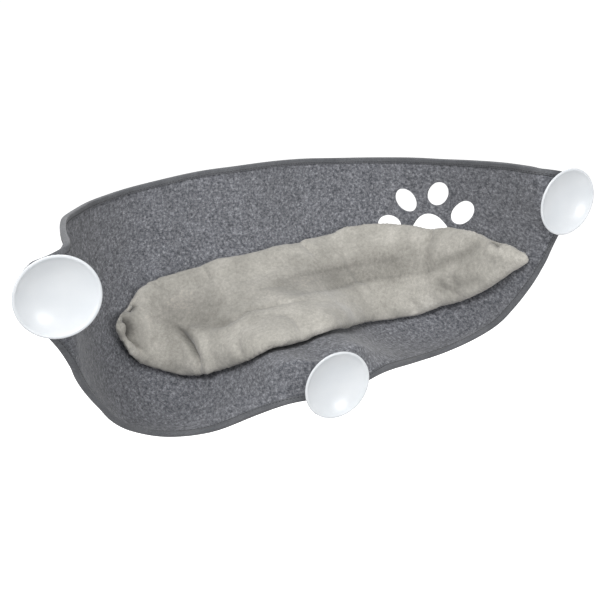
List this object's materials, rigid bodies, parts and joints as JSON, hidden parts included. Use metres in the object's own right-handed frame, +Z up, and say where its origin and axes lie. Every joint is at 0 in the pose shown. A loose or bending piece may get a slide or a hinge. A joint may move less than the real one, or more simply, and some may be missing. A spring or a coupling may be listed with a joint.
{
  "type": "cat window hammock",
  "caption": "Felt pouch bed for a cat that hangs on a window by suction cups, with a plush mat inside and a paw-shaped cut-out in its wall.",
  "frame": {"origin": "on the glass plane, midway between the centres of the two upper suction cups", "axes": "+X along the glass to the right as seen from outside the window, +Y from the glass into the room, +Z up"},
  "size_m": [0.713, 0.3202, 0.2876],
  "materials": {
    "grey_felt": "stiff heather-grey felt, matte",
    "binding_tape": "dark grey folded tape, matte",
    "taupe_plush": "short-pile taupe plush, soft",
    "white_vinyl": "milky white soft vinyl, glossy",
    "zinc_steel": "zinc plated",
    "nickel_eyelet": "nickel plated",
    "grey_washer": "satin",
    "white_knob": "satin"
  },
  "bodies": {
    "hammock": {"felt_panel": "grey_felt", "edge_binding": "binding_tape", "left_eyelet": "nickel_eyelet", "left_washer": "grey_washer", "right_eyelet": "nickel_eyelet", "right_washer": "grey_washer", "lower_eyelet": "nickel_eyelet", "lower_washer": "grey_washer"},
    "left_cup": {"left_suction_cup": "white_vinyl", "left_threaded_stud": "zinc_steel"},
    "left_knob": {"left_screw_knob": "white_knob"},
    "right_cup": {"right_suction_cup": "white_vinyl", "right_threaded_stud": "zinc_steel"},
    "right_knob": {"right_screw_knob": "white_knob"},
    "lower_cup": {"lower_suction_cup": "white_vinyl", "lower_threaded_stud": "zinc_steel"},
    "lower_knob": {"lower_screw_knob": "white_knob"},
    "mat": {"cushion_mat": "taupe_plush"}
  },
  "joints": [
    {"name": "left_cup_swivel", "type": "hinge", "parent": "hammock", "child": "left_cup", "pos_m": [-0.314, 0, 0], "axis": [0, 1, 0], "continuous": true},
    {"name": "left_knob_turn", "type": "hinge", "parent": "left_cup", "child": "left_knob", "pos_m": [-0.314, 0.04, 0], "axis": [0, 1, 0], "continuous": true},
    {"name": "right_cup_swivel", "type": "hinge", "parent": "hammock", "child": "right_cup", "pos_m": [0.314, 0, 0], "axis": [0, 1, 0], "continuous": true},
    {"name": "right_knob_turn", "type": "hinge", "parent": "right_cup", "child": "right_knob", "pos_m": [0.314, 0.04, 0], "axis": [0, 1, 0], "continuous": true},
    {"name": "lower_cup_swivel", "type": "hinge", "parent": "hammock", "child": "lower_cup", "pos_m": [-0.015, 0, -0.172], "axis": [0, 1, 0], "continuous": true},
    {"name": "lower_knob_turn", "type": "hinge", "parent": "lower_cup", "child": "lower_knob", "pos_m": [-0.015, 0.04, -0.172], "axis": [0, 1, 0], "continuous": true},
    {"name": "mat_lift", "type": "slide", "parent": "hammock", "child": "mat", "axis": [-0.099, -0.099, 0.9901], "range_m": [0, 0.25]}
  ]
}
